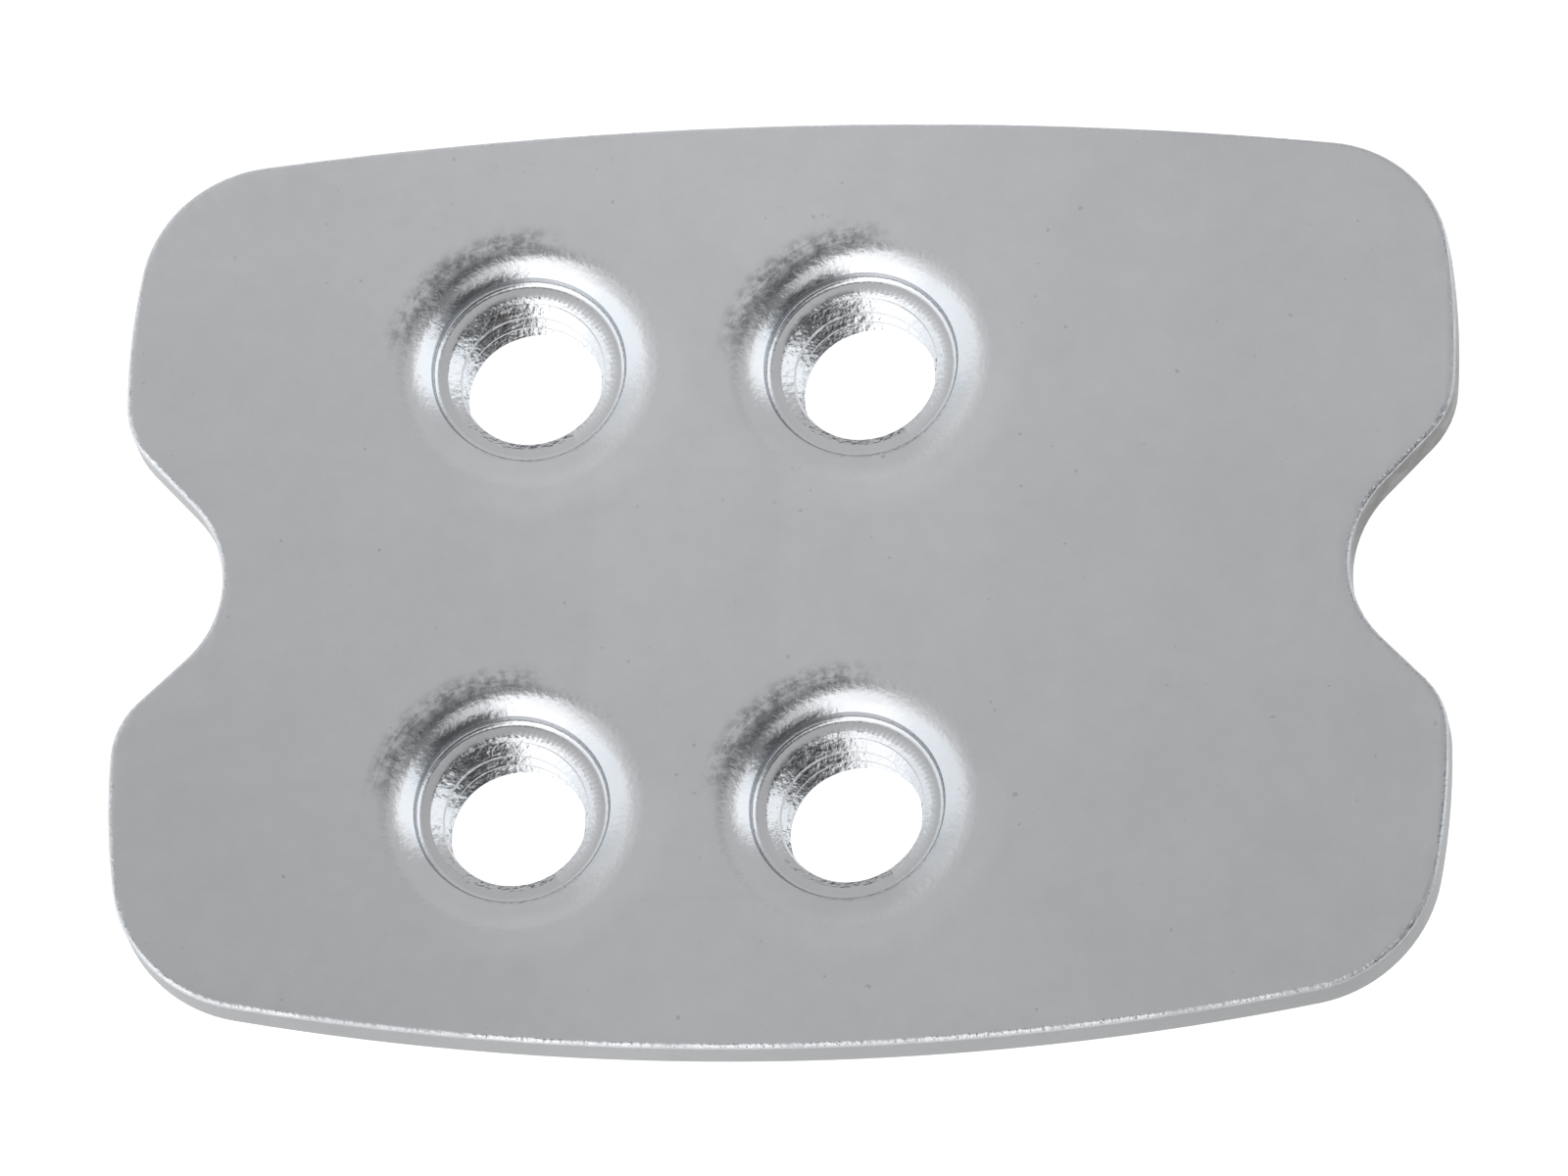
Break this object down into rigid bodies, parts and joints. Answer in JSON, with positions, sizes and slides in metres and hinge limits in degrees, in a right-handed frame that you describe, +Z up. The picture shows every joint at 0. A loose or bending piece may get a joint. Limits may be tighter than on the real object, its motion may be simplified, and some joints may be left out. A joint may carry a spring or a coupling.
{
  "type": "threaded cleat backing plate",
  "caption": "Bent sheet-steel plate with notched ends and M5-threaded drawn collars; lies inside a cycling shoe sole and takes the bolts of a clipless pedal cleat.",
  "frame": {"origin": "under the middle of the outline, in the plane of the collar ends that the plate stands on", "axes": "+X along the plate, away from the bolt holes' end; +Y across it, along each pair of bolts; +Z up, towards the foot"},
  "size_m": [0.04, 0.0294, 0.0046],
  "materials": {
    "zinc_steel": "satin zinc plating"
  },
  "bodies": {
    "root": {"threaded_plate": "zinc_steel"}
  },
  "joints": []
}
